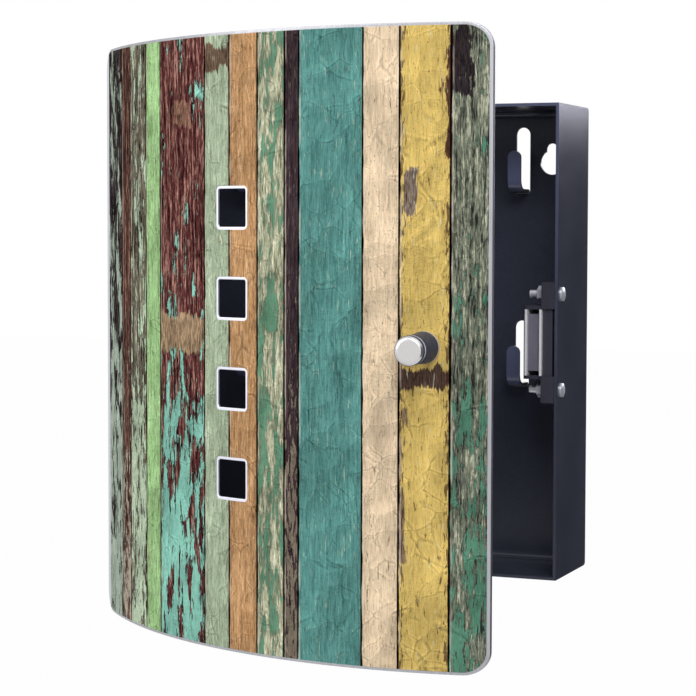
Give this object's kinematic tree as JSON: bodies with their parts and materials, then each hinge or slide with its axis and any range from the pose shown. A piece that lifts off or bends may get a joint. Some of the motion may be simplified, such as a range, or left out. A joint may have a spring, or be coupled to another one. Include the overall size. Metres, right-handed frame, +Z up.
{
  "type": "wall key box",
  "caption": "Wall-hung steel key box: a black folded tray with lanced key hooks and a bowed, board-patterned front with windows and a knob, hinged at the left and held by a magnetic catch.",
  "frame": {"origin": "centre of the outside of the tray's back, on the wall", "axes": "+Y into the wall, front looks along -Y, +X right, +Z up, front standing open"},
  "size_m": [0.2042, 0.1346, 0.24],
  "materials": {
    "powder_coat": "black powder coat, fine texture, semi-matt",
    "brushed_front": "brushed stainless sheet, bare at the rim and around the windows",
    "printed_film": "satin film printed with upright weathered boards in many colours",
    "knob_steel": "turned and brushed stainless steel",
    "zinc_steel": "bright zinc-plated steel",
    "catch_plastic": "black moulded plastic",
    "pole_steel": "bright nickel-plated steel",
    "ferrite": "dark grey sintered ferrite",
    "washer_plastic": "natural nylon"
  },
  "bodies": {
    "box": {"tray": "powder_coat", "hinge_pin_upper": "zinc_steel", "hinge_pin_lower": "zinc_steel", "spacer_washer_upper": "washer_plastic", "spacer_washer_lower": "washer_plastic", "catch_case": "catch_plastic", "catch_magnet": "ferrite", "pole_plate_outer": "pole_steel", "pole_plate_inner": "pole_steel", "catch_screw_upper": "zinc_steel", "catch_screw_lower": "zinc_steel", "catch_washer_upper": "zinc_steel", "catch_washer_lower": "zinc_steel", "catch_nut_upper": "zinc_steel", "catch_nut_lower": "zinc_steel"},
    "door": {"front_panel": "brushed_front", "printed_film": "printed_film", "hinge_bracket_upper": "zinc_steel", "hinge_bracket_lower": "zinc_steel", "knob": "knob_steel", "knob_screw": "zinc_steel", "knob_washer": "zinc_steel", "strike_plate": "zinc_steel"}
  },
  "joints": [
    {"name": "door_hinge", "type": "hinge", "parent": "box", "child": "door", "pos_m": [-0.092, -0.035, 0], "axis": [0, 0, -1], "range_deg": [-19, 76]}
  ]
}
